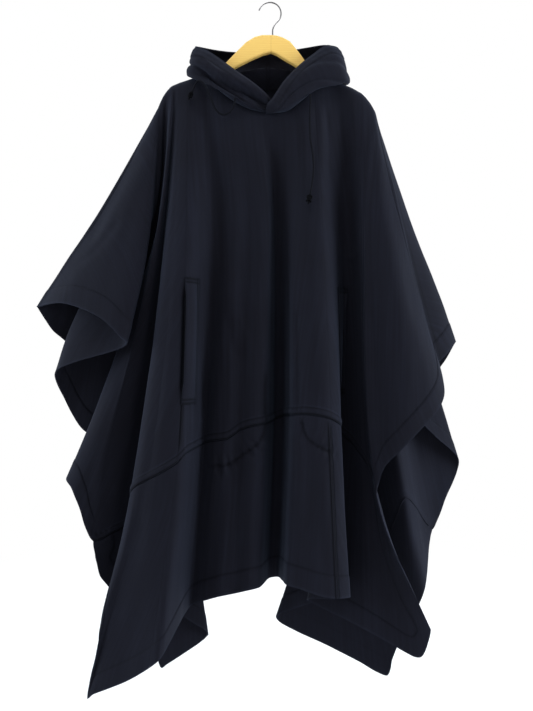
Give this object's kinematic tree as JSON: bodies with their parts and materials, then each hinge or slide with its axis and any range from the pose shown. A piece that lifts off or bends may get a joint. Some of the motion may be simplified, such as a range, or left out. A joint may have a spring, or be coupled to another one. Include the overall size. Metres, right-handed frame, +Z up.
{
  "type": "hooded poncho on coat hanger",
  "caption": "Square-cut hooded poncho in heavy dark cloth with pocket welts and drawcords, draped over a wooden coat hanger with a steel hook.",
  "frame": {"origin": "inner top of the hanger's hook, where a rod carries it", "axes": "+Z up along the hanging garment, -Y towards the viewer of its front, +X towards the wearer's left arm"},
  "size_m": [0.9041, 0.253, 1.439],
  "materials": {
    "cloth": "heavy dark navy cotton canvas, matt with a faint sheen",
    "cord": "round braided cotton cord, matt",
    "wood": "pale wood, satin clear varnish",
    "steel": "polished bright steel wire"
  },
  "bodies": {
    "root": {"front_wing_right": "cloth", "front_centre": "cloth", "front_wing_left": "cloth", "front_band_right": "cloth", "front_band_centre": "cloth", "front_band_left": "cloth", "back_wing_right": "cloth", "back_centre": "cloth", "back_wing_left": "cloth", "back_band_right": "cloth", "back_band_centre": "cloth", "back_band_left": "cloth", "pocket_welt_right": "cloth", "pocket_welt_left": "cloth", "hood_right": "cloth", "hood_left": "cloth", "drawcord_right": "cord", "drawcord_left": "cord", "knot_right": "cord", "knot_left": "cord", "hanger_arm_right": "wood", "hanger_arm_left": "wood", "hanger_hook": "steel"}
  },
  "joints": []
}
